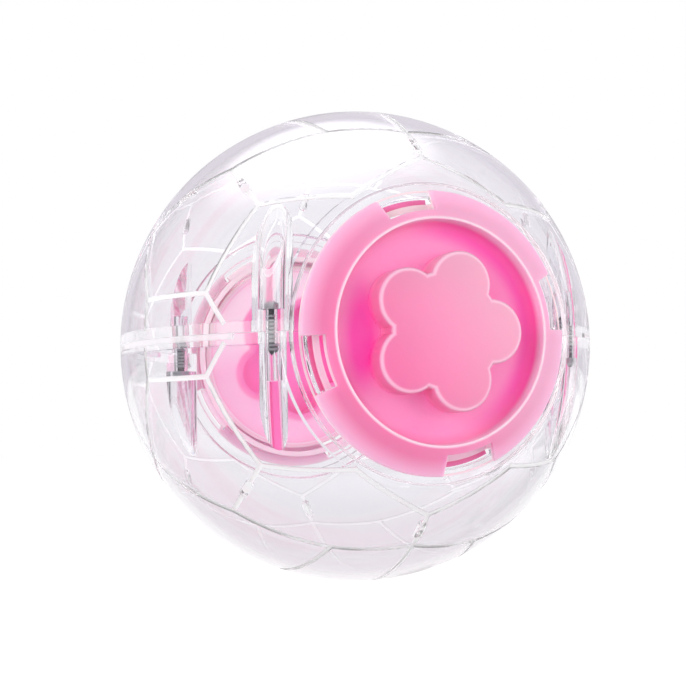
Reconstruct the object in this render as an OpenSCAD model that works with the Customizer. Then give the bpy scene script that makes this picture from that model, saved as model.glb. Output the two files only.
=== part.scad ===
// Hamster ball: two clear half-shells screwed together, with a flower-grip door at each end.
// Origin at the middle of the ball, +Z up and square to the seam, doors facing -Y and +Y.

/* [Ball] */
// Outer diameter of the ball
ball_d = 120; // [112:1:150]
// Thickness of the clear wall
wall = 1.8; // [1.4:0.1:2.4]
// Gap left between the two halves at the seam
seam_gap = 0.1; // [0.02:0.01:0.2]
// Height of the thick rim on each side of the seam
rim_h = 2.6; // [2:0.1:5]
// Thickness of the thick rim, measured in from the outside
rim_t = 3.4; // [3:0.1:5]
// Width of the tongue that locates one half in the other
tongue_t = 0.8; // [0.5:0.1:1]
// Height of the tongue
tongue_h = 1.2; // [0.8:0.1:1.5]
// Play of the tongue in its groove
tongue_play = 0.15; // [0.05:0.05:0.3]
// Angle round the ball that the tongue takes up
tongue_span = 80; // [40:5:85]
// Width of the panel lines
line_w = 1.2; // [0.6:0.1:2]
// Depth of the panel lines
line_depth = 0.4; // [0.2:0.05:0.6]
// Length of an air slot
slot_l = 6; // [4:0.5:9]
// Width of an air slot
slot_w = 2; // [1:0.1:3]

/* [Door openings] */
// Diameter of the opening inside the seat
opening_d = 59.6; // [50:0.2:60]
// Distance that the door's ring lies below the outside of the ball
ring_drop = 0.4; // [0.2:0.1:1.6]
// Thickness of the seat and its collar
seat_t = 1.6; // [1.2:0.1:2]
// Gap between the ring's rim and the collar
collar_gap = 1.6; // [0.4:0.1:2.4]

/* [Doors] */
// Distance that the door's ring laps over the edge of the opening
ring_lap = 2.7; // [2.4:0.1:4]
// Thickness of the door's plastic
door_t = 1.4; // [1:0.1:1.8]
// Width of the ring inside the hub, up to the edge of the dish
ring_in = 2.5; // [1.5:0.1:4]
// Depth of the dish below the ring's inner edge
dish_depth = 4.4; // [2:0.1:5]
// Radius between the dish's wall and its floor
dish_fillet = 2.6; // [1:0.1:3]
// Clearance between the door's ring and its seat
ring_clear = 0.1; // [0.05:0.05:0.2]
// Clearance round the door's hub in the opening
hub_clear = 0.5; // [0.2:0.05:0.8]
// Distance that the hub reaches below the catches
hub_past = 0.4; // [0.2:0.1:1]
// Distance that a catch reaches past the hub
catch_reach = 1.3; // [0.8:0.1:1.5]
// Height of a catch
catch_h = 1.4; // [1:0.1:2]
// Clearance above a catch and past its end
catch_clear = 0.3; // [0.2:0.05:0.5]
// Angle that a catch and its notch take up
catch_angle = 24; // [16:1:30]
// Turn of the first catch from level
catch_turn = 14; // [0:1:20]
// Turn of the back door and the gaps in its seat, from how the front ones lie
back_turn = 45; // [0:5:45]
// Distance that a notch cuts into the dish past the hub's wall
notch_past = 0.3; // [0.2:0.1:0.8]

/* [Flower grips] */
// Distance from the middle of the flower to the middle of a petal
petal_offset = 11.2; // [9:0.1:12]
// Radius of a petal
petal_r = 7.4; // [6:0.1:8]
// Radius of the disc that joins the petals
core_r = 13.5; // [11:0.1:14]
// Height of the grip above the dish's floor
grip_h = 6.6; // [4:0.1:7]
// Width of the bevel round the top of the grip
grip_bevel = 0.7; // [0.3:0.1:1]

/* [Screws] */
// Distance of a screw's axis in from the outside of the ball
screw_in = 4.7; // [4.4:0.1:6]
// Gap between a screw's column and the gaps for the catches
column_gap = 0.5; // [0.3:0.1:2]
// Diameter of the screw's thread
thread_d = 2.6; // [2.2:0.1:3]
// Length of the screw under its head
screw_l = 10; // [8:0.5:12]
// Pitch of the thread
pitch = 0.9; // [0.6:0.1:1.2]
// Diameter of the screw's head
head_d = 4.6; // [4:0.1:5]
// Height of the screw's head
head_h = 1.8; // [1.4:0.1:2.2]
// Width of the cross in the head
cross_w = 0.7; // [0.5:0.1:0.9]
// Clearance of the thread in its bores, all round
thread_clear = 0.05; // [0.02:0.01:0.1]
// Depth of the bore past the screw's tip
bore_spare = 5.5; // [2:0.5:10]
// Height of the head's seat above the seam
head_seat = 5; // [4:0.5:6]
// Diameter of the well down to the head
well_d = 6; // [5.4:0.1:6.4]
// Diameter of the column that holds the well
well_col_d = 9.2; // [8.4:0.1:9.6]
// Diameter of the column that the thread bites into
pilot_col_d = 6.2; // [5.4:0.1:7]

/* [Hidden] */
$fn = 96;

// Overrun of every cut
over = 1;
ball_r = ball_d / 2;
inner_r = ball_r - wall;
floor_r = ball_r - line_depth;
rim_r = ball_r - rim_t;

// The door's ring lies on a sphere of its own, and the seat follows it from below
ring_top_r = ball_r - ring_drop;
ring_under_r = ring_top_r - door_t;
seat_top_r = ring_under_r - ring_clear;
seat_under_r = seat_top_r - seat_t;
opening_r = opening_d / 2;
ring_r = opening_r + ring_lap;
recess_r = ring_r + collar_gap;
collar_r = recess_r + seat_t;
hub_r = opening_r - hub_clear;
catch_r = hub_r + catch_reach;
gap_r = catch_r + catch_clear;
// Angle left free at each end of a catch or tongue
gap_angle = 1;
notch_r = hub_r - door_t - notch_past;
catch_turns = [for (i = [0:3]) catch_turn + i * 90];

// Heights along the door's own axis, from the middle of the ball
function height_on(r, at_r) = sqrt(r * r - at_r * at_r);
dish_r = hub_r - door_t - ring_in;
floor_top = height_on(ring_top_r, dish_r) - dish_depth;
floor_under = floor_top - door_t;
grip_top = floor_top + grip_h;
catch_top = height_on(seat_under_r, catch_r) - catch_clear;
catch_foot = catch_top - catch_h;
hub_foot = catch_foot - hub_past;
petals = 5;

// The screws and the columns that hold them
root_share = 0.76;
cross_share = 0.6;
root_r = thread_d / 2 * root_share;
tip_z = head_seat - screw_l;
pilot_r = thread_d / 2 + thread_clear;
pilot_depth = bore_spare - tip_z;
well_turns = [0, 180];
// Distances of a screw from the planes through the ball's middle along and across the doors' axes
screw_x = gap_r + column_gap + well_col_d / 2;
screw_y = height_on(ball_r - screw_in, screw_x);

// Angle up to the top of the rim
seam_up = asin(rim_h / ball_r);
// Panel corners of one eighth of the ball as [angle round from the front door, angle up from the seam]
crown = [0, 43.5];
crest = [0, 54.5];
shoulder = [22, 30.5];
elbow = [46, 29.3];
hip = [56, 9];
heel = [51, seam_up];
side = [77, 9];
flank = [90, 28];
brow = [62, 42];
temple = [32, 54.4];
// Lines repeated on all four quarters, then lines that reach from a quarter to its mirror image
quarter_lines = [
    [crown, shoulder], [shoulder, elbow], [elbow, hip], [hip, heel], [hip, side],
    [side, flank], [elbow, brow], [brow, flank], [brow, temple], [temple, crest], [side, [side[0], seam_up]]
];
front_lines = [[crown, [0, 90]]];
side_lines = [[temple, [180 - temple[0], temple[1]]]];
quarter_slots = [[elbow, brow], [brow, flank]];
front_slots = [[crown, crest]];

function aim(a) = [sin(a[0]) * cos(a[1]), -cos(a[0]) * cos(a[1]), sin(a[1])];

// Turns its children so that +X points along p, with q at an angle round in the XY plane
module along(p, q) {
    n = cross(p, q);
    c = atan2(p[1], p[0]);
    b = -asin(p[2]);
    flat = n[0] * cos(c) + n[1] * sin(c);
    rotate([atan2(n[0] * sin(c) - n[1] * cos(c), flat * sin(b) + n[2] * cos(b)), b, c])
        children();
}

// A flat blade that cuts one panel line into the outside of the ball
module panel_line(from, to) {
    p = aim(from);
    q = aim(to);
    past = asin(line_w / 2 / ball_r);
    half = acos(p * q) / 2 + past;
    deep = floor_r - over;
    high = (ball_r + over) / cos(half);
    along(p, q)
        rotate([0, 0, half - past])
            linear_extrude(line_w, center = true)
                polygon([
                    deep * [cos(half), -sin(half)], high * [cos(half), -sin(half)],
                    high * [cos(half), sin(half)], deep * [cos(half), sin(half)]
                ]);
}

module air_slot(from, to) {
    p = aim(from);
    q = aim(to);
    along(p, q)
        rotate([0, 0, acos(p * q) / 2])
            translate([ball_r - wall - over, 0, 0])
                rotate([0, 90, 0])
                    linear_extrude(wall + 2 * over) {
                        square([slot_w, slot_l - slot_w], center = true);
                        for (s = [-1, 1])
                            translate([0, s * (slot_l - slot_w) / 2])
                                circle(d = slot_w);
                    }
}

// Copies its children to the mirror places of the ball's upper half
module to_quarters() {
    for (mx = [0, 1], my = [0, 1])
        mirror([mx, 0, 0])
            mirror([0, my, 0])
                children();
}

module to_front_door() {
    rotate([90, 0, 0])
        children();
}

module to_back_door() {
    rotate([90, 0, 180])
        rotate([0, 0, back_turn])
            children();
}

module to_both_doors() {
    to_front_door()
        children();
    to_back_door()
        children();
}

// The outside of the ball, with its panel lines cut down to a smaller sphere
module ball_outside() {
    sphere(r = floor_r);
    difference() {
        sphere(r = ball_r);
        to_quarters()
            for (l = quarter_lines)
                panel_line(l[0], l[1]);
        for (my = [0, 1])
            mirror([0, my, 0])
                for (l = front_lines)
                    panel_line(l[0], l[1]);
        for (mx = [0, 1])
            mirror([mx, 0, 0])
                for (l = side_lines)
                    panel_line(l[0], l[1]);
    }
}

module air_slots() {
    to_quarters()
        for (s = quarter_slots)
            air_slot(s[0], s[1]);
    for (my = [0, 1])
        mirror([0, my, 0])
            for (s = front_slots)
                air_slot(s[0], s[1]);
}

// The inside of the ball, which steps in under each door's seat
module ball_cavity() {
    difference() {
        sphere(r = inner_r);
        to_both_doors()
            difference() {
                cylinder(r = collar_r, h = ball_r);
                sphere(r = seat_under_r);
            }
    }
}

// Four blocks round a door's axis, one over each catch
module at_catches(angle, from_r, to_r, from_z, to_z) {
    for (turn = catch_turns)
        rotate([0, 0, turn - angle / 2])
            rotate_extrude(angle = angle)
                translate([from_r, from_z])
                    square([to_r - from_r, to_z - from_z]);
}

// The recess for a door's ring, the opening and the gaps that let the catches through
module door_cut() {
    difference() {
        cylinder(r = recess_r, h = ball_r + over);
        sphere(r = seat_top_r);
    }
    translate([0, 0, seat_under_r / 2])
        cylinder(r = opening_r, h = ball_r);
    at_catches(catch_angle + 2 * gap_angle, opening_r - over, gap_r, seat_under_r / 2, ball_r);
}

module seam_rim() {
    rotate_extrude()
        translate([rim_r, 0])
            square([rim_t - wall / 2, rim_h]);
}

// An arc of ring along the seam, centred on the direction called facing
module seam_arc(facing, span, t, from_z, to_z) {
    rotate([0, 0, facing - span / 2])
        rotate_extrude(angle = span)
            translate([ball_r - rim_t / 2 - t / 2, from_z])
                square([t, to_z - from_z]);
}

// Places its children at the two screw wells of the upper half
module to_wells() {
    for (turn = well_turns)
        rotate([0, 0, turn])
            translate([screw_x, screw_y, 0])
                children();
}

// Places its children at the two columns of the upper half that the screws bite into
module to_pilots() {
    for (turn = well_turns)
        rotate([0, 0, turn])
            translate([-screw_x, screw_y, 0])
                children();
}

module columns() {
    intersection() {
        union() {
            to_wells()
                cylinder(d = well_col_d, h = ball_r);
            to_pilots()
                cylinder(d = pilot_col_d, h = ball_r);
        }
        sphere(r = (ball_r + inner_r) / 2);
    }
}

module column_bores() {
    to_wells() {
        translate([0, 0, head_seat])
            cylinder(d = well_d, h = ball_r);
        translate([0, 0, -over])
            cylinder(r = pilot_r, h = head_seat + 2 * over);
    }
    to_pilots()
        translate([0, 0, -over])
            cylinder(r = pilot_r, h = pilot_depth + over);
}

// One half of the ball, as it leaves the mould: both halves are this shape, and the
// tongue on its left side fits the groove that the other half then has there
module half_shell() {
    color("ghostwhite", 0.5) {
        difference() {
            union() {
                difference() {
                    ball_outside();
                    ball_cavity();
                }
                seam_rim();
                columns();
            }
            translate([-ball_r, -ball_r, seam_gap / 2 - ball_d])
                cube(ball_d);
            to_both_doors()
                door_cut();
            column_bores();
            air_slots();
            seam_arc(0, tongue_span + 2 * gap_angle, tongue_t + 2 * tongue_play,
                     -over, tongue_h + tongue_play);
        }
        seam_arc(180, tongue_span, tongue_t, -tongue_h, rim_h / 2);
    }
}

module upper_shell() {
    half_shell();
}

module lower_shell() {
    rotate([0, 180, 0])
        half_shell();
}

module to_petals() {
    for (i = [0:petals - 1])
        rotate([0, 0, i * 360 / petals])
            translate([petal_offset, 0, 0])
                children();
}

// A block with the flower's outline, drawn smaller by inset
module flower(inset, bottom, top) {
    translate([0, 0, bottom])
        linear_extrude(top - bottom) {
            to_petals()
                circle(r = petal_r - inset);
            circle(r = core_r - inset);
        }
}

module grip() {
    bevel_z = grip_top - grip_bevel;
    flower(0, floor_under, bevel_z);
    translate([0, 0, bevel_z]) {
        to_petals()
            cylinder(r1 = petal_r, r2 = petal_r - grip_bevel, h = grip_bevel);
        cylinder(r1 = core_r, r2 = core_r - grip_bevel, h = grip_bevel);
    }
}

// Section of the door's ring, dish and hub, to the right of its axis
module door_section() {
    difference() {
        union() {
            intersection() {
                difference() {
                    circle(r = ring_top_r);
                    circle(r = ring_under_r);
                }
                translate([dish_r, 0])
                    square([ring_r - dish_r, ball_r]);
            }
            translate([0, floor_under])
                square([dish_r + door_t, height_on(ring_under_r, dish_r) - floor_under + door_t / 2]);
            translate([hub_r - door_t, hub_foot])
                square([door_t, height_on(ring_under_r, hub_r) - hub_foot + door_t / 2]);
        }
        translate([0, floor_top + dish_fillet])
            square([dish_r, ball_r]);
        translate([0, floor_top])
            square([dish_r - dish_fillet, ball_r]);
        translate([dish_r - dish_fillet, floor_top + dish_fillet])
            circle(r = dish_fillet);
    }
}

module door() {
    color("hotpink")
        difference() {
            union() {
                rotate_extrude()
                    door_section();
                grip();
                at_catches(catch_angle, hub_r - door_t / 2, catch_r, catch_foot, catch_top);
            }
            flower(door_t, floor_under - over, grip_top - door_t);
            at_catches(catch_angle, notch_r, ring_r + over, catch_top + door_t, ball_r);
        }
}

module front_door() {
    to_front_door()
        door();
}

module back_door() {
    to_back_door()
        door();
}

// A pan-head screw that stands on the seam, head up
module screw() {
    turns = floor((screw_l - 2 * pitch) / pitch);
    color("silver")
        difference() {
            union() {
                rotate_extrude()
                    polygon([
                        [0, tip_z],
                        for (i = [1:turns])
                            each [
                                [root_r, tip_z + i * pitch],
                                [thread_d / 2, tip_z + (i + 0.5) * pitch]
                            ],
                        [root_r, tip_z + (turns + 1) * pitch],
                        [root_r, head_seat], [0, head_seat]
                    ]);
                intersection() {
                    translate([0, 0, head_seat])
                        cylinder(d = head_d, h = head_h);
                    translate([0, 0, head_seat + head_h - head_d])
                        sphere(r = head_d);
                }
            }
            translate([0, 0, head_seat + head_h])
                for (turn = [0, 90])
                    rotate([0, 0, turn])
                        cube([head_d * cross_share, cross_w, head_h], center = true);
        }
}

module screw_front_left() {
    translate([-screw_x, -screw_y, 0])
        screw();
}

module screw_back_right() {
    translate([screw_x, screw_y, 0])
        screw();
}

module screw_front_right() {
    translate([screw_x, -screw_y, 0])
        rotate([0, 180, 0])
            screw();
}

module screw_back_left() {
    translate([-screw_x, screw_y, 0])
        rotate([0, 180, 0])
            screw();
}

upper_shell();
lower_shell();
front_door();
back_door();
screw_front_left();
screw_back_right();
screw_front_right();
screw_back_left();
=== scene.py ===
import math

import bmesh
import bpy
import numpy as np
from mathutils import Matrix, Vector


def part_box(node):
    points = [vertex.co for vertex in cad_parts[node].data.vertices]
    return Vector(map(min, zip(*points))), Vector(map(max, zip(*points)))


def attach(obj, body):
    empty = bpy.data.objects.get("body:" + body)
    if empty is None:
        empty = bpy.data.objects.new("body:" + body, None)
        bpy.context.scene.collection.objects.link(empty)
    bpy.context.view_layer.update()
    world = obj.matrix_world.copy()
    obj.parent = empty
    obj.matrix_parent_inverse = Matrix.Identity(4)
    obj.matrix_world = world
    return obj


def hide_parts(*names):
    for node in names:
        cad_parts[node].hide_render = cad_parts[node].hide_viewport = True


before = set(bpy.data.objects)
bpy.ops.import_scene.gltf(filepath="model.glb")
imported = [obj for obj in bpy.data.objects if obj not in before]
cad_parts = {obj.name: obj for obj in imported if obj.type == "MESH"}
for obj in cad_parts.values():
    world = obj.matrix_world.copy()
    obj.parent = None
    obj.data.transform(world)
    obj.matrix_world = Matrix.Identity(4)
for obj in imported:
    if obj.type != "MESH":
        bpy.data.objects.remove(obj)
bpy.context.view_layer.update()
scene = bpy.context.scene
scene.view_settings.view_transform = "Standard"

# Camera: the photograph's viewpoint, a little to the left of the front door and just below the
# seam, three ball diameters away. The shift only puts the ball where the photograph frames it.
CAMERA_TURN, CAMERA_RISE, CAMERA_ROLL = (math.radians(a) for a in (-21.7, -3.5, -0.7))
CAMERA_DISTANCE = 0.36
CAMERA_LENS = 72.9
PICTURE_WIDTH = 686
BALL_IN_PICTURE = (355.15, 346.2)

away = Vector((
    math.sin(CAMERA_TURN) * math.cos(CAMERA_RISE),
    -math.cos(CAMERA_TURN) * math.cos(CAMERA_RISE),
    math.sin(CAMERA_RISE),
))
level = Vector((math.cos(CAMERA_TURN), math.sin(CAMERA_TURN), 0))
upright = away.cross(level)
right = level * math.cos(CAMERA_ROLL) + upright * math.sin(CAMERA_ROLL)
up = upright * math.cos(CAMERA_ROLL) - level * math.sin(CAMERA_ROLL)
aim = Matrix((right, up, away)).transposed().to_4x4()
camera = bpy.data.objects.new("camera", bpy.data.cameras.new("camera"))
camera.matrix_world = Matrix.Translation(away * CAMERA_DISTANCE) @ aim
camera.data.lens = CAMERA_LENS
camera.data.shift_x = (PICTURE_WIDTH / 2 - BALL_IN_PICTURE[0]) / PICTURE_WIDTH
camera.data.shift_y = (BALL_IN_PICTURE[1] - PICTURE_WIDTH / 2) / PICTURE_WIDTH
scene.collection.objects.link(camera)
scene.camera = camera

# Clear half-shells: two copies of one injection moulding in crystal polystyrene, held together by
# screws. Its polished walls bend light like glass, and the panel lines are shallow round channels.
BALL_RADIUS = round(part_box("upper_shell")[1].x, 5)
LINE_DEPTH, LINE_WIDTH = 0.0004, 0.0012
LINE_FLOOR = BALL_RADIUS - LINE_DEPTH
LINE_TILT = math.tan(math.radians(25))
BELT_HEIGHT = 0.0026
BELT_ANGLE = math.degrees(math.asin(BELT_HEIGHT / BALL_RADIUS))
column_middle = sum(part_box("screw_back_right"), Vector()) / 2
COLUMN_X, COLUMN_Y = (round(c, 6) for c in column_middle.xy)
# Panel corners, in degrees round from the front door and up from the seam, and the lines between
# them. They are for one eighth of the ball, and the rest are their mirror images.
CORNERS = {
    "crown": (0, 43.5), "crest": (0, 54.5), "shoulder": (22, 30.5), "elbow": (46, 29.3),
    "hip": (56, 9), "heel": (51, BELT_ANGLE), "side": (77, 9), "side foot": (77, BELT_ANGLE),
    "flank": (90, 28), "brow": (62, 42), "temple": (32, 54.4), "far temple": (148, 54.4),
    "pole": (0, 90),
}
LINES = [
    ("crown", "shoulder"), ("shoulder", "elbow"), ("elbow", "hip"), ("hip", "heel"), ("hip", "side"),
    ("side", "flank"), ("elbow", "brow"), ("brow", "flank"), ("brow", "temple"), ("temple", "crest"),
    ("side", "side foot"), ("crown", "pole"), ("temple", "far temple"),
]
# How near two things have to be to count as one: corners, distances, directions and angles
WELD = 2e-7
SAME_DISTANCE, SAME_FLOOR = 3e-5, 4e-6
FACES_AXIS, FACES_MIDDLE, FACES_SQUARE = 0.95, 0.995, 0.99999
SHARP_ANGLE = math.radians(28)
# A length and an area below these are divided by them, and not by themselves
SHORTEST, SMALLEST = 1e-9, 1e-20


def merged_copy(node, name):
    """A copy of a CAD node's mesh under a new name, with the corners of its triangles joined up."""
    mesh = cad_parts[node].data.copy()
    mesh.name = name
    bm = bmesh.new()
    bm.from_mesh(mesh)
    bmesh.ops.remove_doubles(bm, verts=bm.verts, dist=WELD)
    bm.to_mesh(mesh)
    bm.free()
    mesh.materials.clear()
    piece = bpy.data.objects.new(name, mesh)
    scene.collection.objects.link(piece)
    return piece


def surface_normals(mesh, axes):
    """Each triangle's corners and own normal, and a normal for each corner from what it lies on.

    A triangle whose corners are equally far from one of the axes, and that faces it, lies on a
    round wall, and takes the directions from that axis. One whose corners are equally far from the
    ball's middle, and that faces it, lies on a sphere, and takes the directions from there. One
    that is square to X, Y or Z is flat, and the rest keep Blender's smoothed normals.
    """
    mesh.shade_smooth()
    mesh.set_sharp_from_angle(angle=SHARP_ANGLE)
    co = np.empty(len(mesh.vertices) * 3)
    mesh.vertices.foreach_get("co", co)
    index = np.empty(len(mesh.loops), int)
    mesh.loops.foreach_get("vertex_index", index)
    normals = np.empty(len(mesh.loops) * 3, np.float32)
    mesh.corner_normals.foreach_get("vector", normals)
    normals = normals.astype(float).reshape(-1, 3, 3)
    corners = co.reshape(-1, 3)[index].reshape(-1, 3, 3)
    faces = np.cross(corners[:, 1] - corners[:, 0], corners[:, 2] - corners[:, 0])
    faces /= np.maximum(np.linalg.norm(faces, axis=1, keepdims=True), SMALLEST)

    def lay(arms, least_facing):
        """Gives each corner its arm's direction where a triangle's arms are equal and it faces them."""
        reach = np.linalg.norm(arms, axis=2, keepdims=True)
        unit = arms / np.maximum(reach, SHORTEST)
        facing = np.einsum("ik,ijk->ij", faces, unit)
        on = np.ptp(reach[..., 0], axis=1) < SAME_DISTANCE
        on &= np.abs(facing).min(axis=1) > least_facing
        normals[on] = unit[on] * np.sign(facing[on].mean(axis=1))[:, None, None]

    square = np.abs(faces).max(axis=1) > FACES_SQUARE
    normals[square] = faces[square][:, None]
    for point, way in axes:
        arms = corners - np.array(point)
        lay(arms - (arms @ np.array(way))[..., None] * np.array(way), FACES_AXIS)
    lay(corners, FACES_MIDDLE)
    return corners, faces, normals


def corner_direction(name, flip):
    """The unit vector to a panel corner: sin a cos e, -cos a cos e, sin e, mirrored by flip."""
    a, e = np.radians(CORNERS[name])
    return np.array([np.sin(a) * np.cos(e), -np.cos(a) * np.cos(e), np.sin(e)]) * flip


def panel_arcs():
    """Each panel line's plane normal, middle direction and half angle, mirrored all round the ball.

    For corners p and q and half the angle between them, h, the plane's normal is p x q / sin 2h
    and the middle is (p + q) / (2 cos h).
    """
    rows = []
    for flip in np.array(np.meshgrid([1, -1], [1, -1], [1, -1])).reshape(3, -1).T:
        for start, end in LINES:
            p, q = corner_direction(start, flip), corner_direction(end, flip)
            h = np.arccos(np.clip(p @ q, -1, 1)) / 2
            rows.append((*np.cross(p, q) / np.sin(2 * h), *(p + q) / (2 * np.cos(h)), h))
    rows = np.array(rows)
    return rows[:, :3], rows[:, 3:6], rows[:, 6]


def lean_in_lines(corners, faces, normals):
    """Leans the normals on the floors of the panel lines, as if the channels had round bottoms.

    Each leans towards the middle of its line, by the distance from it over half the line's width
    times the steepest tilt. A triangle belongs to the line that passes nearest its centre.
    """
    on = np.abs(np.linalg.norm(corners, axis=2) - LINE_FLOOR).max(axis=1) < SAME_FLOOR
    on &= np.einsum("ik,ik->i", faces, corners.mean(axis=1)) > 0
    plane, middle, half_angle = panel_arcs()
    centre = corners[on].mean(axis=1)
    centre /= np.linalg.norm(centre, axis=1, keepdims=True)
    past_end = np.arccos(np.clip(centre @ middle.T, -1, 1)) - half_angle
    off = np.abs(centre @ plane.T) + np.maximum(past_end, 0)
    nearest = plane[off.argmin(axis=1)]
    across = np.einsum("ik,ijk->ij", nearest, corners[on]) / (LINE_WIDTH / 2)
    lean = normals[on] - LINE_TILT * np.clip(across, -1, 1)[..., None] * nearest[:, None]
    normals[on] = lean / np.linalg.norm(lean, axis=2, keepdims=True)


def linear(colour):
    """An sRGB hex colour in linear light, with an alpha of 1.

    A dark part is divided by 12.92, and any other is ((part + 0.055) / 1.055) to the power 2.4.
    """
    parts = np.array([int(colour[i:i + 2], 16) for i in (1, 3, 5)]) / 255
    light = np.where(parts <= 0.04045, parts / 12.92, ((parts + 0.055) / 1.055) ** 2.4)
    return (*light.tolist(), 1.0)


def add(tree, kind, inputs=None, **settings):
    """Adds a node. settings are its properties, and inputs gives a socket, by its name or number, a
    value or a link."""
    node = tree.nodes.new("ShaderNode" + kind)
    for name, value in settings.items():
        setattr(node, name, value)
    for socket, value in (inputs or {}).items():
        if isinstance(value, bpy.types.NodeSocket):
            tree.links.new(value, node.inputs[socket])
        else:
            node.inputs[socket].default_value = value
    return node


def new_material(name):
    """An empty node material, and its tree."""
    material = bpy.data.materials.new(name)
    material.use_nodes = True
    material.node_tree.nodes.clear()
    return material, material.node_tree


# Crystal polystyrene, moulded in a polished tool: water-clear and bright with a slight cool tint,
# and the melt's flow leaves a very slow waviness. Its real index of 1.59 is lowered to match how
# much the photograph's walls bend and mirror. The lines, the walls' cut edges and the belt at the
# seam aren't polished, and scatter a little white.
CLEAR = "#F9F8FB"
CLEAR_INDEX = 1.45
FLOW_WAVE, FLOW_STRENGTH, FLOW_DEPTH = 0.028, 0.12, 0.0004
POLISHED, LINE_ROUGHNESS = 0.02, 0.3
LINE_MILK, LINE_FLOOR_MILK, EDGE_MILK, BELT_MILK = 0.4, 0.65, 0.3, 0.2
WHITE = (1, 1, 1, 1)
STRAIGHT_THROUGH = (0.995, 0.995, 0.995, 1)
# Each range runs from where a zone begins to where it is full, in distance from the ball's middle
# and, for the belt, from the seam
BELOW_OUTSIDE = {"From Min": BALL_RADIUS - 0.00003, "From Max": BALL_RADIUS - 0.00008}
ABOVE_LINE_FLOOR = {"From Min": LINE_FLOOR - 0.00015, "From Max": LINE_FLOOR - 0.00005}
AT_LINE_FLOOR = {"From Min": LINE_FLOOR + 0.00006, "From Max": LINE_FLOOR + 0.00002}
ABOVE_INSIDE = {"From Min": BALL_RADIUS - 0.0017, "From Max": BALL_RADIUS - 0.0016}
IN_BELT = {"From Min": BELT_HEIGHT, "From Max": BELT_HEIGHT - 0.0002}

clear_material, tree = new_material("moulded crystal polystyrene")
place = add(tree, "TexCoord").outputs["Object"]
flow = add(tree, "TexNoise", {"Vector": place, "Scale": 1 / FLOW_WAVE, "Detail": 1.0})
ripple = add(tree, "Bump", {
    "Height": flow.outputs["Fac"], "Strength": FLOW_STRENGTH, "Distance": FLOW_DEPTH,
})
from_middle = add(tree, "VectorMath", {0: place}, operation="LENGTH").outputs["Value"]
below_outside = add(tree, "MapRange", {"Value": from_middle, **BELOW_OUTSIDE}).outputs[0]
at_line_floor = add(tree, "MapRange", {"Value": from_middle, **AT_LINE_FLOOR}).outputs[0]
above_line_floor = add(tree, "MapRange", {"Value": from_middle, **ABOVE_LINE_FLOOR}).outputs[0]
in_line = add(tree, "Math", {0: below_outside, 1: above_line_floor}, operation="MULTIPLY").outputs[0]
frost = add(tree, "MapRange", {
    "Value": in_line, "To Min": POLISHED, "To Max": LINE_ROUGHNESS,
}).outputs[0]
crystal = add(tree, "BsdfPrincipled", {
    "Base Color": linear(CLEAR), "Roughness": frost, "IOR": CLEAR_INDEX, "Transmission Weight": 1.0,
    "Normal": ripple.outputs["Normal"],
})
line_milk = add(tree, "MapRange", {
    "Value": at_line_floor, "To Min": LINE_MILK, "To Max": LINE_FLOOR_MILK,
}).outputs[0]
line_milk = add(tree, "Math", {0: in_line, 1: line_milk}, operation="MULTIPLY").outputs[0]
above_inside = add(tree, "MapRange", {"Value": from_middle, **ABOVE_INSIDE}).outputs[0]
cut_edge = add(tree, "Math", {0: below_outside, 1: above_inside}, operation="MULTIPLY").outputs[0]
edge_milk = add(tree, "Math", {0: cut_edge, 1: EDGE_MILK}, operation="MULTIPLY").outputs[0]
height = add(tree, "SeparateXYZ", {"Vector": place}).outputs["Z"]
height = add(tree, "Math", {0: height}, operation="ABSOLUTE").outputs[0]
in_belt = add(tree, "MapRange", {"Value": height, **IN_BELT, "To Max": BELT_MILK}).outputs[0]
belt_milk = add(tree, "Math", {0: in_belt, 1: above_inside}, operation="MULTIPLY").outputs[0]
milk = add(tree, "Math", {0: line_milk, 1: edge_milk}, operation="MAXIMUM").outputs[0]
milk = add(tree, "Math", {0: milk, 1: belt_milk}, operation="MAXIMUM").outputs[0]
milk_outside = add(tree, "BsdfDiffuse", {"Color": WHITE})
milk_inside = add(tree, "BsdfTranslucent", {"Color": WHITE})
from_inside = add(tree, "NewGeometry").outputs["Backfacing"]
white = add(tree, "MixShader", {
    0: from_inside, 1: milk_outside.outputs[0], 2: milk_inside.outputs[0],
})
moulding = add(tree, "MixShader", {0: milk, 1: crystal.outputs[0], 2: white.outputs[0]})
# Light from the lamps, and light between matt surfaces, goes straight through the walls, so that
# what is inside is lit as behind thin real ones
straight = add(tree, "BsdfTransparent", {"Color": STRAIGHT_THROUGH})
ray = add(tree, "LightPath").outputs
for kind in ("Is Shadow Ray", "Is Diffuse Ray"):
    moulding = add(tree, "MixShader", {
        0: ray[kind], 1: moulding.outputs[0], 2: straight.outputs[0],
    })
add(tree, "OutputMaterial", {"Surface": moulding.outputs[0]})

COLUMN_AXES = [((sx * COLUMN_X, sy * COLUMN_Y, 0), (0, 0, 1)) for sx in (1, -1) for sy in (1, -1)]
DOOR_AXIS, POLE_AXIS = ((0, 0, 0), (0, 1, 0)), ((0, 0, 0), (0, 0, 1))
for half in ("upper_shell", "lower_shell"):
    shell = merged_copy(half, "clear_" + half)
    corners, faces, normals = surface_normals(shell.data, [*COLUMN_AXES, DOOR_AXIS, POLE_AXIS])
    lean_in_lines(corners, faces, normals)
    shell.data.normals_split_custom_set(normals.reshape(-1, 3).tolist())
    shell.data.materials.append(clear_material)
    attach(shell, "ball")
    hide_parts(half)

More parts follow.
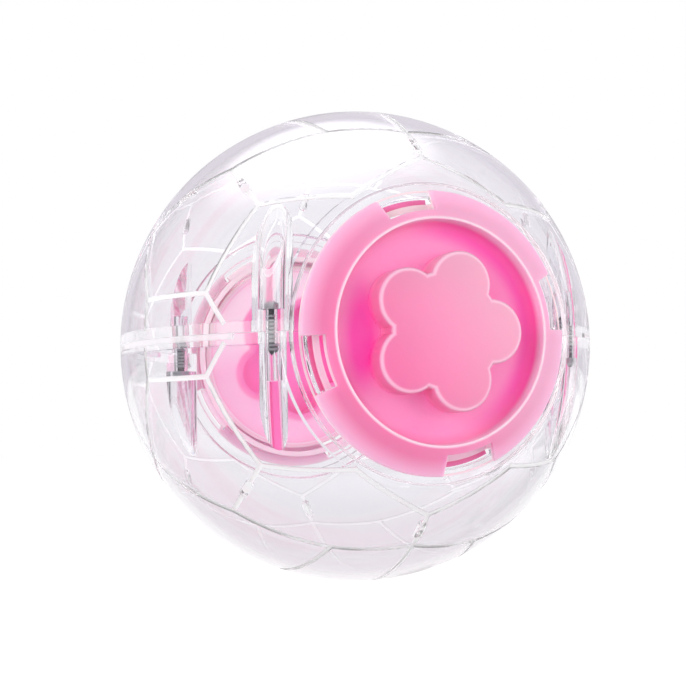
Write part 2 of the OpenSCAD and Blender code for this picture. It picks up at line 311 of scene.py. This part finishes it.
# Doors: one pink polystyrene moulding each, with a domed ring that lies on the clear seat, a dish,
# and a hollow five-petal grip. Four catches behind the ring hold it, and the back door is turned
# by an eighth of a turn. The mould rounds the edges softly.
door_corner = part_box("back_door")[1]
GRIP_TOP = round(door_corner.y, 5)
GRIP_HEIGHT, GRIP_BEVEL = 0.0066, 0.0007
DISH_FLOOR = GRIP_TOP - GRIP_HEIGHT
RING_RADIUS, RING_SUNK, DISH_RADIUS = round(door_corner.x, 5), 0.0004, 0.0254
RING_TOP = BALL_RADIUS - RING_SUNK
HUB_RADIUS, CATCH_TOP, CATCH_HALF_HEIGHT = 0.0279, 0.0472, 0.0007
PETALS, PETAL_OFFSET, PETAL_RADIUS, CORE_RADIUS = 5, 0.0112, 0.0074, 0.0135
PETAL_STEP = 2 * math.pi / PETALS
BACK_TURN = math.radians(45)
EDGE_ROUNDING, ROUNDING_STEPS = 0.0004, 6
SAME_PLACE, SAME_SLOPE = 1e-5, 0.05


def round_circles(piece, circles, width):
    """Rounds each edge whose ends both lie on a circle round Y.

    A circle is given as its radius and the distance of its points from the ball's middle.
    """
    bm = bmesh.new()
    bm.from_mesh(piece.data)
    for radius, distance in circles:
        bm.verts.index_update()
        co = np.array([v.co for v in bm.verts])
        on = np.abs(np.hypot(co[:, 0], co[:, 2]) - radius) < SAME_PLACE
        on &= np.abs(np.linalg.norm(co, axis=1) - distance) < SAME_PLACE
        edges = [e for e in bm.edges if on[[v.index for v in e.verts]].all()]
        bmesh.ops.bevel(
            bm, geom=edges, offset=width, offset_type="OFFSET", segments=ROUNDING_STEPS, profile=0.5,
            affect="EDGES", clamp_overlap=False,
        )
    bmesh.ops.triangulate(bm, faces=bm.faces)
    bm.to_mesh(piece.data)
    bm.free()


def round_chamfer(corners, faces, normals, low, high):
    """Turns the normals across the grip's chamfer evenly, as over a rounded edge.

    The chamfer slopes at 45 degrees between the distances low and high along Y. A share s of the
    way out, the normal is the sideways direction times cos 90s plus the outward one times sin 90s.
    """
    out = np.abs(corners[..., 1:2])
    on = np.abs(np.abs(faces[:, 1]) - math.sqrt(0.5)) < SAME_SLOPE
    on &= (out.min(axis=(1, 2)) > low - SAME_PLACE) & (out.max(axis=(1, 2)) < high + SAME_PLACE)
    sideways = normals[on] * (1, 0, 1)
    sideways /= np.linalg.norm(sideways, axis=2, keepdims=True)
    outward = np.sign(corners[on][..., 1:2]) * (0, 1, 0)
    turn = (out[on] - low) / (high - low) * math.pi / 2
    normals[on] = sideways * np.cos(turn) + outward * np.sin(turn)


# Pink polystyrene, moulded in a satin tool: half glossy over a very fine grain, and clouded a
# little. Light passes a few millimetres through it. Light and shade are also painted into its
# colour: paler where thin walls are lit from behind, deeper pink as painted shade in the dish and
# the grip's hollow, and painted highlights on the lip and the grip's rim.
pink_material, tree = new_material("moulded pink polystyrene")
place = add(tree, "TexCoord").outputs["Object"]
parts = add(tree, "SeparateXYZ", {"Vector": place}).outputs
off_axis = add(tree, "CombineXYZ", {"X": parts["X"], "Y": parts["Z"]}).outputs[0]
radius = add(tree, "VectorMath", {0: off_axis}, operation="LENGTH").outputs["Value"]
reach = add(tree, "Math", {0: parts["Y"]}, operation="ABSOLUTE").outputs[0]
# reach is the distance out along the door's axis, and rightward is as seen from outside the door
door_side = add(tree, "Math", {0: parts["Y"]}, operation="SIGN").outputs[0]
leftward = add(tree, "Math", {0: parts["X"], 1: door_side}, operation="MULTIPLY").outputs[0]
rightward = add(tree, "Math", {0: 0.0, 1: leftward}, operation="SUBTRACT").outputs[0]
from_outside = add(tree, "CombineXYZ", {"X": rightward, "Y": parts["Z"]}).outputs[0]

# The dish's floor and wall, in a deeper pink that is painted shade in the recess, with painted
# shadows darkest beside the grip on its left, and under the dish's wall on its right, as if lit from
# the right. Each range goes with the distance from the door's axis, out along it, towards the
# shaded side, or from the middle of the grip's painted shadow. A Mix of colours has its share at 0,
# the colours at 6 and 7, and the result at 2.
DISH_SHADE_PINK, DISH_SHADOW_PINK = "#FF9AC2", "#FF53B2"
IN_DISH = {"From Min": DISH_RADIUS + 0.0002, "From Max": DISH_RADIUS - 0.0006}
AT_DISH_WALL = {"From Min": DISH_RADIUS - 0.0018, "From Max": DISH_RADIUS - 0.0010}
NEAR_DISH_WALL = {"From Min": DISH_RADIUS - 0.006, "From Max": DISH_RADIUS - 0.002}
NEAR_DISH_FLOOR = {"From Min": DISH_FLOOR + 0.0030, "From Max": DISH_FLOOR + 0.0003}
DOWN_DISH_WALL = {"From Min": DISH_FLOOR + 0.0043, "From Max": DISH_FLOOR + 0.0034}
SPOT_LEFT, SPOT_DOWN, SPOT_HALF_WIDTH, SPOT_HALF_HEIGHT = 0.0181, 0.0008, 0.0046, 0.0125
INTO_SPOT = {"From Min": 1.25, "From Max": 0.35}
SHADED_WAY, SHADED_SHARE = (0.94, 0.34, 0), 0.8
TO_SHADED_SIDE = {"From Min": -0.004, "From Max": 0.016}
CLOUD_SIZE, CLOUD_SHARE = 0.018, 0.3

in_dish = add(
    tree, "MapRange", {"Value": radius, **IN_DISH}, interpolation_type="SMOOTHSTEP",
).outputs[0]
near_floor = add(
    tree, "MapRange", {"Value": reach, **NEAR_DISH_FLOOR}, interpolation_type="SMOOTHSTEP",
).outputs[0]
at_wall = add(tree, "MapRange", {"Value": radius, **AT_DISH_WALL}).outputs[0]
down_wall = add(tree, "MapRange", {"Value": reach, **DOWN_DISH_WALL}).outputs[0]
wall_sunk = add(tree, "Math", {0: at_wall, 1: down_wall}, operation="MULTIPLY").outputs[0]
sunk = add(tree, "Math", {0: near_floor, 1: wall_sunk}, operation="MAXIMUM").outputs[0]
sunk = add(tree, "Math", {0: in_dish, 1: sunk}, operation="MULTIPLY").outputs[0]
# Painted shadow of the grip, on the dish's floor to its left
from_spot = add(tree, "VectorMath", {
    0: from_outside, 1: (SPOT_LEFT, SPOT_DOWN, 0),
}, operation="ADD").outputs[0]
from_spot = add(tree, "VectorMath", {
    0: from_spot, 1: (1 / SPOT_HALF_WIDTH, 1 / SPOT_HALF_HEIGHT, 1),
}, operation="MULTIPLY").outputs[0]
from_spot = add(tree, "VectorMath", {0: from_spot}, operation="LENGTH").outputs["Value"]
grip_shadow = add(
    tree, "MapRange", {"Value": from_spot, **INTO_SPOT}, interpolation_type="SMOOTHSTEP",
).outputs[0]
# Painted shadow under the dish's wall, on its right
near_wall = add(
    tree, "MapRange", {"Value": radius, **NEAR_DISH_WALL}, interpolation_type="SMOOTHSTEP",
).outputs[0]
to_right = add(tree, "VectorMath", {
    0: from_outside, 1: SHADED_WAY,
}, operation="DOT_PRODUCT").outputs["Value"]
to_right = add(
    tree, "MapRange", {"Value": to_right, **TO_SHADED_SIDE, "To Max": SHADED_SHARE},
    interpolation_type="SMOOTHSTEP",
).outputs[0]
wall_shadow = add(tree, "Math", {0: near_wall, 1: to_right}, operation="MULTIPLY").outputs[0]
shadow_and_cloud = add(tree, "Math", {0: grip_shadow, 1: wall_shadow}, operation="MAXIMUM").outputs[0]
cloud = add(tree, "TexNoise", {
    "Vector": place, "Scale": 1 / CLOUD_SIZE, "Detail": 2.0,
}).outputs["Fac"]
shade = add(tree, "MapRange", {
    "Value": cloud, "To Min": -CLOUD_SHARE, "To Max": CLOUD_SHARE,
}).outputs[0]
shadow_and_cloud = add(tree, "Math", {0: shadow_and_cloud, 1: shade}, operation="ADD", use_clamp=True).outputs[0]
dish = add(tree, "Mix", {
    0: shadow_and_cloud, 6: linear(DISH_SHADE_PINK), 7: linear(DISH_SHADOW_PINK),
}, data_type="RGBA").outputs[2]

# Painted light and shade: the ring and the petals are painted paler towards the upper right, where
# the light comes from, and deeper away from it. The ring also turns paler towards its edge, and the
# lip round the dish is palest, a painted highlight.
RING_LIT_PINK, RING_SHADED_PINK, RING_EDGE, HIGHLIGHT_PINK = "#F9AAC9", "#FA7EAE", "#F9B6D2", "#FFD3E5"
PETAL_SHADED_PINK, PETAL_LIT_PINK = "#E477A6", "#EAADC2"
LIGHT_WAY = (0.85, 0.53, 0)
ALONG_PETALS = {"From Min": -0.016, "From Max": 0.017}
ALONG_RING = {"From Min": -0.028, "From Max": 0.026}
PAST_LIP = {"From Min": DISH_RADIUS + 0.0003, "From Max": DISH_RADIUS + 0.0009}
TO_RING_EDGE = {"From Min": RING_RADIUS - 0.004, "From Max": RING_RADIUS}

lightward = add(tree, "VectorMath", {
    0: from_outside, 1: LIGHT_WAY,
}, operation="DOT_PRODUCT").outputs["Value"]
petal_light = add(tree, "MapRange", {"Value": lightward, **ALONG_PETALS}).outputs[0]
petal = add(tree, "Mix", {
    0: petal_light, 6: linear(PETAL_SHADED_PINK), 7: linear(PETAL_LIT_PINK),
}, data_type="RGBA").outputs[2]
past_lip = add(
    tree, "MapRange", {"Value": radius, **PAST_LIP}, interpolation_type="SMOOTHSTEP",
).outputs[0]
ring_light = add(
    tree, "MapRange", {"Value": lightward, **ALONG_RING}, interpolation_type="SMOOTHSTEP",
).outputs[0]
ring = add(tree, "Mix", {
    0: ring_light, 6: linear(RING_SHADED_PINK), 7: linear(RING_LIT_PINK),
}, data_type="RGBA").outputs[2]
to_edge = add(tree, "MapRange", {"Value": radius, **TO_RING_EDGE}).outputs[0]
ring = add(tree, "Mix", {0: to_edge, 6: ring, 7: linear(RING_EDGE)}, data_type="RGBA").outputs[2]
# Painted highlight on the lip round the dish
ring = add(tree, "Mix", {0: past_lip, 6: linear(HIGHLIGHT_PINK), 7: ring}, data_type="RGBA").outputs[2]
colour = add(tree, "Mix", {0: in_dish, 6: ring, 7: petal}, data_type="RGBA").outputs[2]
# Painted shade: the sunk dish takes its deeper pink
colour = add(tree, "Mix", {0: sunk, 6: colour, 7: dish}, data_type="RGBA").outputs[2]

# Distance in from the grip's outline, with the plane folded so that one petal stands for all five
around = add(tree, "Math", {0: parts["Z"], 1: rightward}, operation="ARCTAN2").outputs[0]
is_back = add(tree, "Math", {0: parts["Y"], 1: 0.0}, operation="GREATER_THAN").outputs[0]
door_turn = add(tree, "Math", {0: is_back, 1: BACK_TURN}, operation="MULTIPLY").outputs[0]
around = add(tree, "Math", {0: around, 1: door_turn}, operation="SUBTRACT").outputs[0]
folded = add(tree, "Math", {
    0: around, 1: PETAL_STEP / 2, 2: -PETAL_STEP / 2,
}, operation="WRAP").outputs[0]
along = add(tree, "Math", {0: folded}, operation="COSINE").outputs[0]
aside = add(tree, "Math", {0: folded}, operation="SINE").outputs[0]
along = add(tree, "Math", {0: along, 1: radius}, operation="MULTIPLY").outputs[0]
aside = add(tree, "Math", {0: aside, 1: radius}, operation="MULTIPLY").outputs[0]
petal_place = add(tree, "CombineXYZ", {"X": along, "Y": aside}).outputs[0]
from_petal = add(tree, "VectorMath", {
    0: petal_place, 1: (PETAL_OFFSET, 0, 0),
}, operation="DISTANCE").outputs["Value"]
in_petal = add(tree, "Math", {0: PETAL_RADIUS, 1: from_petal}, operation="SUBTRACT").outputs[0]
in_core = add(tree, "Math", {0: CORE_RADIUS, 1: radius}, operation="SUBTRACT").outputs[0]
inward = add(tree, "Math", {0: in_petal, 1: in_core}, operation="MAXIMUM").outputs[0]

# The dish's back, painted paler towards its upper half as painted light, and with painted shade
# where the grip's wall stands behind it, then the grip's hollow in a deeper pink, painted shade, and
# a painted highlight on the rim of its top. The ranges are outwards, up, and in from the grip's
# outline.
BACK_LIT_PINK, BACK_SHADED_PINK, BACK_GRIP_SHADE, HOLLOW_SHADE_PINK = "#FFD3E4", "#FFB7D5", "#FF88BC", "#FF78BA"
BEHIND_DISH = {"From Min": DISH_FLOOR - 0.0005, "From Max": DISH_FLOOR - 0.0009}
TO_UPPER_HALF = {"From Min": -0.006, "From Max": 0.008}
TO_GRIP_WALL = {"From Min": -0.0010, "From Max": 0.0}
WITHIN_GRIP_WALL = {"From Min": 0.0006, "From Max": 0.0010}
INSIDE_GRIP = {"From Min": GRIP_TOP - 0.0006, "From Max": GRIP_TOP - 0.0010}
TO_GRIP_RIM = {"From Min": 0.0011, "From Max": 0.0006}
AT_GRIP_TOP = {"From Min": GRIP_TOP - 0.0008, "From Max": GRIP_TOP - 0.0004}
RIM_HIGHLIGHT_SHARE = 0.6

behind_dish = add(tree, "MapRange", {"Value": reach, **BEHIND_DISH}).outputs[0]
behind_dish = add(tree, "Math", {0: behind_dish, 1: in_dish}, operation="MULTIPLY").outputs[0]
to_upper = add(
    tree, "MapRange", {"Value": parts["Z"], **TO_UPPER_HALF}, interpolation_type="SMOOTHSTEP",
).outputs[0]
# Painted light: the dish's back paler towards its upper half
back = add(tree, "Mix", {
    0: to_upper, 6: linear(BACK_SHADED_PINK), 7: linear(BACK_LIT_PINK),
}, data_type="RGBA").outputs[2]
# Painted shade where the grip's wall stands behind the dish
behind_grip = add(tree, "MapRange", {"Value": inward, **TO_GRIP_WALL}).outputs[0]
back = add(tree, "Mix", {0: behind_grip, 6: back, 7: linear(BACK_GRIP_SHADE)}, data_type="RGBA").outputs[2]
colour = add(tree, "Mix", {0: behind_dish, 6: colour, 7: back}, data_type="RGBA").outputs[2]
# Painted shade in the grip's hollow
hollow = add(tree, "MapRange", {"Value": inward, **WITHIN_GRIP_WALL}).outputs[0]
inside_grip = add(tree, "MapRange", {"Value": reach, **INSIDE_GRIP}).outputs[0]
hollow = add(tree, "Math", {0: hollow, 1: inside_grip}, operation="MULTIPLY").outputs[0]
colour = add(tree, "Mix", {0: hollow, 6: colour, 7: linear(HOLLOW_SHADE_PINK)}, data_type="RGBA").outputs[2]
# Painted highlight on the rim of the grip's top
rim_highlight = add(tree, "MapRange", {"Value": inward, **TO_GRIP_RIM, "To Max": RIM_HIGHLIGHT_SHARE}).outputs[0]
at_grip_top = add(tree, "MapRange", {"Value": reach, **AT_GRIP_TOP}).outputs[0]
rim_highlight = add(tree, "Math", {0: rim_highlight, 1: at_grip_top}, operation="MULTIPLY").outputs[0]
rim_highlight = add(tree, "Math", {0: rim_highlight, 1: in_dish}, operation="MULTIPLY").outputs[0]
colour = add(tree, "Mix", {0: rim_highlight, 6: colour, 7: linear(HIGHLIGHT_PINK)}, data_type="RGBA").outputs[2]

# Under the ring and on the hub a paler pink is painted, as light that comes through from outside,
# paler still towards the upper half, and the catches are painted deeper, as shade under the ring.
# The ranges are the distances from the ball's middle and from the door's axis.
UNDER_GLOW_PALE, UNDER_GLOW_PINK = "#FFD9E2", "#FFCDE0"
UNDER_RING_TOP = {"From Min": RING_TOP - 0.0006, "From Max": RING_TOP - 0.0010}
PAST_DISH_WALL = {"From Min": DISH_RADIUS + 0.0005, "From Max": DISH_RADIUS + 0.0009}

depth = add(tree, "VectorMath", {0: place}, operation="LENGTH").outputs["Value"]
under_ring = add(tree, "MapRange", {"Value": depth, **UNDER_RING_TOP}).outputs[0]
past_wall = add(tree, "MapRange", {"Value": radius, **PAST_DISH_WALL}).outputs[0]
under_ring = add(tree, "Math", {0: under_ring, 1: past_wall}, operation="MULTIPLY").outputs[0]
# Painted light coming through under the ring
under = add(tree, "Mix", {
    0: to_upper, 6: linear(UNDER_GLOW_PINK), 7: linear(UNDER_GLOW_PALE),
}, data_type="RGBA").outputs[2]
colour = add(tree, "Mix", {0: under_ring, 6: colour, 7: under}, data_type="RGBA").outputs[2]
# Painted shade on the catches, in the petals' shaded pink
catch = add(tree, "Math", {
    0: reach, 1: CATCH_TOP, 2: CATCH_HALF_HEIGHT,
}, operation="COMPARE").outputs[0]
past_hub = add(tree, "Math", {0: radius, 1: HUB_RADIUS}, operation="GREATER_THAN").outputs[0]
catch = add(tree, "Math", {0: catch, 1: past_hub}, operation="MULTIPLY").outputs[0]
colour = add(tree, "Mix", {0: catch, 6: colour, 7: linear(PETAL_SHADED_PINK)}, data_type="RGBA").outputs[2]

# The satin grain, the clouded gloss, and how deep red, green and blue light goes into the plastic
GRAIN_SIZE, GRAIN_STRENGTH, GRAIN_DEPTH = 0.0006, 0.05, 0.00005
GLOSSY, SATIN = 0.3, 0.42
PINK_INDEX = 1.5
LIGHT_SHARE, LIGHT_DEPTHS, LIGHT_SCALE = 0.7, (1.0, 0.5, 0.65), 0.007

grain = add(tree, "TexNoise", {
    "Vector": place, "Scale": 1 / GRAIN_SIZE, "Detail": 2.0,
}).outputs["Fac"]
grain = add(tree, "Bump", {
    "Height": grain, "Strength": GRAIN_STRENGTH, "Distance": GRAIN_DEPTH,
}).outputs["Normal"]
polish = add(tree, "MapRange", {"Value": cloud, "To Min": GLOSSY, "To Max": SATIN}).outputs[0]
plastic = add(tree, "BsdfPrincipled", {
    "Base Color": colour, "Roughness": polish, "IOR": PINK_INDEX, "Normal": grain,
    "Subsurface Weight": LIGHT_SHARE, "Subsurface Radius": LIGHT_DEPTHS,
    "Subsurface Scale": LIGHT_SCALE,
})
add(tree, "OutputMaterial", {"Surface": plastic.outputs[0]})

for door, side, own_turn in (("front_door", -1, 0.0), ("back_door", 1, BACK_TURN)):
    leaf = merged_copy(door, "pink_" + door)
    round_circles(leaf, ((DISH_RADIUS, RING_TOP), (RING_RADIUS, RING_TOP)), EDGE_ROUNDING)
    petal_angles = [PETAL_STEP * k + own_turn for k in range(PETALS)]
    petal_axes = [
        ((-side * PETAL_OFFSET * math.cos(a), 0, PETAL_OFFSET * math.sin(a)), (0, 1, 0))
        for a in petal_angles
    ]
    corners, faces, normals = surface_normals(leaf.data, [*petal_axes, DOOR_AXIS])
    round_chamfer(corners, faces, normals, GRIP_TOP - GRIP_BEVEL, GRIP_TOP)
    leaf.data.normals_split_custom_set(normals.reshape(-1, 3).tolist())
    leaf.data.materials.append(pink_material)
    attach(leaf, door)
    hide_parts(door)

# Screws: pan heads with a cross and a coarse thread for plastic, two put in from above and two
# from below. Their CAD meshes have the head, the cross and the thread, and are kept.
SCREWS = ("screw_front_left", "screw_back_right", "screw_front_right", "screw_back_left")

# Zinc-plated steel: bright and a little mottled on the head and on the thread's crests, and dark
# in its grooves as painted shade, by the distance from the screw's own axis.
CREST_STEEL, GROOVE_SHADE_STEEL = "#B4B5B9", "#2C2D31"
GROOVE_TO_CREST = {"From Min": 0.00098, "From Max": 0.00122}
MOTTLE_SIZE = 0.0012
BRIGHT, DULL = 0.2, 0.42

steel_material, tree = new_material("zinc plated steel")
place = add(tree, "TexCoord").outputs["Object"]
mottle = add(tree, "TexNoise", {
    "Vector": place, "Scale": 1 / MOTTLE_SIZE, "Detail": 3.0,
}).outputs["Fac"]
roughness = add(tree, "MapRange", {"Value": mottle, "To Min": BRIGHT, "To Max": DULL}).outputs[0]
from_axis = add(tree, "VectorMath", {0: place}, operation="ABSOLUTE").outputs[0]
from_axis = add(tree, "VectorMath", {
    0: from_axis, 1: (COLUMN_X, COLUMN_Y, 0),
}, operation="SUBTRACT").outputs[0]
from_axis = add(tree, "VectorMath", {0: from_axis, 1: (1, 1, 0)}, operation="MULTIPLY").outputs[0]
from_axis = add(tree, "VectorMath", {0: from_axis}, operation="LENGTH").outputs["Value"]
crest = add(tree, "MapRange", {"Value": from_axis, **GROOVE_TO_CREST}).outputs[0]
# Painted shade in the thread's grooves
plating_and_shade = add(tree, "Mix", {
    0: crest, 6: linear(GROOVE_SHADE_STEEL), 7: linear(CREST_STEEL),
}, data_type="RGBA").outputs[2]
steel = add(tree, "BsdfPrincipled", {
    "Base Color": plating_and_shade, "Metallic": 1.0, "Roughness": roughness,
})
add(tree, "OutputMaterial", {"Surface": steel.outputs[0]})
for name in SCREWS:
    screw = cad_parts[name]
    screw.data.materials.clear()
    screw.data.materials.append(steel_material)

# Floor: plain and white, with the ball standing on it. It shines as much as makes it white together
# with the light on its matt share, and only that share takes a shadow. Through the clear walls it
# glows a little greyer close to the ball, a painted shadow.
FLOOR_SIZE = 4.0
SHADOW_SHARE = 0.3
# How brightly the floor and the world light the ball
PLAIN = 0.5
FLOOR_WHITE = (1 - SHADOW_SHARE * PLAIN) / (1 - SHADOW_SHARE)
FLOOR_NEAR_SHADOW = 0.80
AWAY_FROM_BALL = {"From Min": 0.05, "From Max": 1.2}
# A count of bounces or crossings is above this after the first
ONCE = 0.5

# A Mix of numbers has its share at 0, the numbers at 2 and 3, and the result at 0
floor_material, tree = new_material("white floor")
ray = add(tree, "LightPath").outputs
place = add(tree, "TexCoord").outputs["Object"]
distance = add(tree, "VectorMath", {0: place}, operation="LENGTH").outputs["Value"]
# Painted shadow: seen through the clear walls, the floor glows less close to the ball
seen_through = add(
    tree, "MapRange", {
        "Value": distance, **AWAY_FROM_BALL, "To Min": FLOOR_NEAR_SHADOW, "To Max": FLOOR_WHITE,
    }, interpolation_type="SMOOTHSTEP",
).outputs[0]
is_through = add(tree, "Math", {
    0: ray["Transmission Depth"], 1: ONCE,
}, operation="GREATER_THAN").outputs[0]
shine = add(tree, "Mix", {0: is_through, 2: FLOOR_WHITE, 3: seen_through}, data_type="FLOAT").outputs[0]
shine = add(tree, "Mix", {0: ray["Diffuse Depth"], 2: shine, 3: PLAIN}, data_type="FLOAT").outputs[0]
light_of_floor = add(tree, "Emission", {"Color": WHITE, "Strength": shine})
paper = add(tree, "BsdfDiffuse", {"Color": WHITE})
floor_surface = add(tree, "MixShader", {
    0: SHADOW_SHARE, 1: light_of_floor.outputs[0], 2: paper.outputs[0],
})
add(tree, "OutputMaterial", {"Surface": floor_surface.outputs[0]})
floor_mesh = bpy.data.meshes.new("floor")
half_size = FLOOR_SIZE / 2
floor_mesh.from_pydata(
    [(x * half_size, y * half_size, -BALL_RADIUS) for x, y in ((-1, -1), (1, -1), (1, 1), (-1, 1))],
    [], [(0, 1, 2, 3)],
)
floor_mesh.materials.append(floor_material)
floor = bpy.data.objects.new("floor", floor_mesh)
scene.collection.objects.link(floor)

# World: white as seen past and through the ball. What the clear walls mirror is a studio instead,
# with a big soft light overhead and greyer sides, and what is mirrored deep inside the columns and
# rims has dark flags round the horizon, which draw their edges.
OVERHEAD = Vector((-0.05, 0.3, 1.0)).normalized()
STUDIO_WALLS, STUDIO_FLAGS, SOFTBOX = 0.83, 0.06, 3.5
STUDIO_TONE = "#F3EEF6"
FLAGS_ROUND = 7.0
# The depths that a ray's bounces pass once it is mirrored, and its crossings once it is deep inside
MIRRORED, DEEP_INSIDE = 1.5, 3.5
INTO_SOFTBOX = {"From Min": 0.80, "From Max": 0.97}
ABOVE_FLAGS = {"From Min": 0.2, "From Max": 0.5}
BETWEEN_FLAGS = {"From Min": 0.1, "From Max": 0.5}

world = bpy.data.worlds.new("studio")
scene.world = world
world.use_nodes = True
tree = world.node_tree
tree.nodes.clear()
ray = add(tree, "LightPath").outputs
looks = add(tree, "TexCoord").outputs["Generated"]
bounces = add(tree, "Math", {
    0: ray["Ray Depth"], 1: ray["Transmission Depth"],
}, operation="SUBTRACT").outputs[0]
bounces = add(tree, "Math", {0: bounces, 1: ray["Diffuse Depth"]}, operation="SUBTRACT").outputs[0]
is_mirrored = add(tree, "Math", {0: bounces, 1: MIRRORED}, operation="GREATER_THAN").outputs[0]
is_inner = add(tree, "Math", {
    0: ray["Transmission Depth"], 1: DEEP_INSIDE,
}, operation="GREATER_THAN").outputs[0]
is_diffuse = add(tree, "Math", {0: ray["Diffuse Depth"], 1: ONCE}, operation="GREATER_THAN").outputs[0]
upwards = add(tree, "VectorMath", {0: looks, 1: OVERHEAD}, operation="DOT_PRODUCT").outputs["Value"]
softbox = add(
    tree, "MapRange", {
        "Value": upwards, **INTO_SOFTBOX, "To Min": STUDIO_WALLS, "To Max": SOFTBOX,
    }, interpolation_type="SMOOTHSTEP",
).outputs[0]
compass = add(tree, "SeparateXYZ", {"Vector": looks}).outputs
slope = add(tree, "Math", {0: compass["Z"]}, operation="ABSOLUTE").outputs[0]
above_flags = add(tree, "MapRange", {"Value": slope, **ABOVE_FLAGS}).outputs[0]
heading = add(tree, "Math", {0: compass["Y"], 1: compass["X"]}, operation="ARCTAN2").outputs[0]
heading = add(tree, "Math", {0: heading, 1: FLAGS_ROUND}, operation="MULTIPLY").outputs[0]
swing = add(tree, "Math", {0: heading}, operation="SINE").outputs[0]
between_flags = add(tree, "MapRange", {"Value": swing, **BETWEEN_FLAGS}).outputs[0]
clear_of_flags = add(tree, "Math", {0: above_flags, 1: between_flags}, operation="MAXIMUM").outputs[0]
flags = add(tree, "MapRange", {
    "Value": clear_of_flags, "To Min": STUDIO_FLAGS, "To Max": STUDIO_WALLS,
}).outputs[0]
studio = add(tree, "Mix", {0: is_inner, 2: softbox, 3: flags}, data_type="FLOAT").outputs[0]
brightness = add(tree, "Mix", {0: is_mirrored, 2: 1.0, 3: studio}, data_type="FLOAT").outputs[0]
brightness = add(tree, "Mix", {0: is_diffuse, 2: brightness, 3: PLAIN}, data_type="FLOAT").outputs[0]
tone = add(tree, "Mix", {0: is_mirrored, 6: WHITE, 7: linear(STUDIO_TONE)}, data_type="RGBA").outputs[2]
sky = add(tree, "Background", {"Color": tone, "Strength": brightness})
add(tree, "OutputWorld", {"Surface": sky.outputs[0]})

# Lamps: four soft round ones, which light the ball evenly from four sides. They don't show in its
# clear walls, where the world alone is mirrored.
LAMP_SIZE = 0.45
LAMPS = [
    ("front right softbox", (0.42, -0.34, 0.11), 1.4),
    ("front left softbox", (-0.42, -0.34, 0.11), 1.3),
    ("back right softbox", (0.42, 0.34, 0.16), 1.4),
    ("back left softbox", (-0.42, 0.34, 0.16), 1.4),
]

for name, where, power in LAMPS:
    lamp = bpy.data.lights.new(name, "AREA")
    lamp.shape = "DISK"
    lamp.size = LAMP_SIZE
    lamp.energy = power
    lamp_object = bpy.data.objects.new(name, lamp)
    lamp_object.location = where
    lamp_object.rotation_mode = "QUATERNION"
    lamp_object.rotation_quaternion = Vector(where).to_track_quat("Z", "Y")
    lamp_object.visible_glossy = False
    lamp_object.visible_transmission = False
    lamp_object.visible_camera = False
    scene.collection.objects.link(lamp_object)

# Light crosses many clear walls, and is mirrored in some, before it leaves the ball
CROSSINGS, MIRRORINGS = 32, 12
scene.cycles.max_bounces = CROSSINGS
scene.cycles.transmission_bounces = CROSSINGS
scene.cycles.transparent_max_bounces = CROSSINGS
scene.cycles.glossy_bounces = MIRRORINGS
